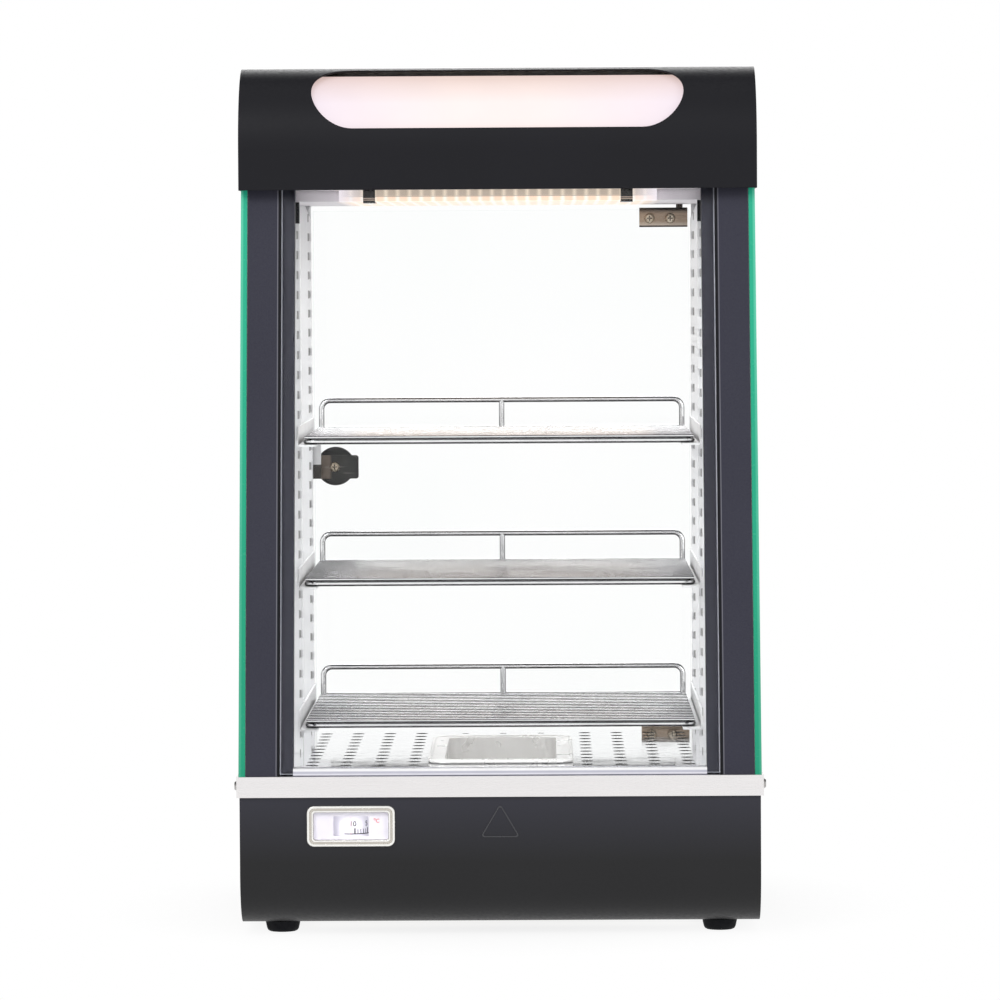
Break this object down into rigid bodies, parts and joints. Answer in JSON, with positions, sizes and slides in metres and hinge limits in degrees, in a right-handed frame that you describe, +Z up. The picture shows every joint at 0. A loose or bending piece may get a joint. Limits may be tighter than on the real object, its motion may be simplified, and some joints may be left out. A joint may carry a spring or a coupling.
{
  "type": "hot food display case",
  "caption": "Countertop hot food display case: dark base and curved lit hood, slanted glass front, wire shelves, perforated floor with water tray, hinged glass rear door.",
  "frame": {"origin": "on the table under the middle of the whole case, feet at z = 0", "axes": "+Z up, -Y towards the slanted glass front, +Y towards the rear door, +X to the right seen from the front"},
  "size_m": [0.3676, 0.376, 0.604],
  "materials": {
    "black_coat": "dark charcoal powder coat, fine grain, satin",
    "black_frame": "anodised dark grey aluminium, satin",
    "trim_steel": "brushed stainless steel",
    "polished_steel": "bright polished stainless sheet",
    "satin_steel": "satin stainless sheet",
    "zinc_steel": "plain galvanised sheet",
    "chrome_wire": "bright chromed wire",
    "clamp_metal": "warm grey nickel plate",
    "dark_steel": "blackened steel plate, satin",
    "clear_glass": "clear tempered glass with green edges",
    "clear_plastic": "clear moulded window",
    "diffuser": "translucent warm white acrylic, lit from behind",
    "white_plastic": "white moulded plastic",
    "bezel_silver": "satin chromed frame",
    "black_plastic": "black moulded plastic, fine texture",
    "red_lens": "translucent red lens",
    "rubber": "black rubber",
    "board": "white circuit board with lamps",
    "sheath": "heater tube, lightly browned by heat"
  },
  "bodies": {
    "root": {"base_shell": "black_coat", "hood_shell": "black_coat", "control_panel": "black_coat", "hood_rear_panel": "black_coat", "pillar_left": "black_frame", "pillar_right": "black_frame", "deck_pan": "trim_steel", "floor_plate": "polished_steel", "front_sill": "polished_steel", "ceiling_plate": "polished_steel", "case_screws": "polished_steel", "rear_posts": "satin_steel", "front_uprights": "satin_steel", "rear_uprights": "satin_steel", "shelf_rails_low": "satin_steel", "shelf_rails_middle": "satin_steel", "shelf_rails_top": "satin_steel", "bottom_plate": "zinc_steel", "thermostat_body": "zinc_steel", "thermostat_probe": "zinc_steel", "led_driver": "zinc_steel", "thermometer_coil": "zinc_steel", "front_glass": "clear_glass", "side_glass_left": "clear_glass", "side_glass_right": "clear_glass", "thermometer_window": "clear_plastic", "light_cover": "clear_plastic", "light_panel": "diffuser", "thermometer_face": "white_plastic", "thermometer_case": "white_plastic", "terminal_block": "white_plastic", "thermometer_bezel": "bezel_silver", "power_switch_housing": "black_plastic", "light_switch_housing": "black_plastic", "cable_gland": "black_plastic", "light_clips": "black_plastic", "fan_housing": "black_plastic", "magnet_catch": "black_plastic", "indicator_lamp": "red_lens", "feet": "rubber", "top_pads": "rubber", "led_strip": "board", "sign_led_board": "board", "base_heater": "sheath"},
    "door": {"door_glass": "clear_glass", "top_hinge_clamp": "clamp_metal", "bottom_hinge_clamp": "clamp_metal", "door_screws": "polished_steel", "door_knob": "black_plastic", "strike_plate": "dark_steel"},
    "lower_shelf": {"shelf_low": "chrome_wire"},
    "middle_shelf": {"shelf_middle": "chrome_wire"},
    "upper_shelf": {"shelf_top": "chrome_wire"},
    "tray": {"water_tray": "polished_steel"},
    "thermostat_dial": {"thermostat_knob": "black_plastic", "thermostat_shaft": "zinc_steel"},
    "power_key": {"power_rocker": "black_plastic"},
    "light_key": {"light_rocker": "black_plastic"},
    "scale_drum": {"thermometer_drum": "white_plastic"},
    "fan_wheel": {"fan_impeller": "black_plastic"}
  },
  "joints": [
    {"name": "door_hinge", "type": "hinge", "parent": "root", "child": "door", "pos_m": [0.134, 0.154, 0.3105], "axis": [0, 0, -1], "range_deg": [0, 110]},
    {"name": "lower_shelf_lift", "type": "slide", "parent": "root", "child": "lower_shelf", "axis": [0, 0, 1], "range_m": [0, 0.03]},
    {"name": "middle_shelf_lift", "type": "slide", "parent": "root", "child": "middle_shelf", "axis": [0, 0, 1], "range_m": [0, 0.03]},
    {"name": "upper_shelf_lift", "type": "slide", "parent": "root", "child": "upper_shelf", "axis": [0, 0, 1], "range_m": [0, 0.03]},
    {"name": "tray_lift", "type": "slide", "parent": "root", "child": "tray", "axis": [0, 0, 1], "range_m": [0, 0.015]},
    {"name": "thermostat_turn", "type": "hinge", "parent": "root", "child": "thermostat_dial", "pos_m": [0.108, 0.178, 0.06], "axis": [0, -1, 0], "range_deg": [0, 270]},
    {"name": "power_rocker_tip", "type": "hinge", "parent": "root", "child": "power_key", "pos_m": [0.05, 0.169, 0.06], "axis": [1, 0, 0], "range_deg": [0, 16]},
    {"name": "light_rocker_tip", "type": "hinge", "parent": "root", "child": "light_key", "pos_m": [-0.002, 0.169, 0.06], "axis": [1, 0, 0], "range_deg": [0, 16]},
    {"name": "scale_turn", "type": "hinge", "parent": "root", "child": "scale_drum", "pos_m": [-0.103, -0.1698, 0.0774], "axis": [0, 0, 1], "range_deg": [-20, 240]},
    {"name": "fan_spin", "type": "hinge", "parent": "root", "child": "fan_wheel", "pos_m": [0, 0.097, 0.075], "axis": [0, 0, 1], "continuous": true}
  ]
}
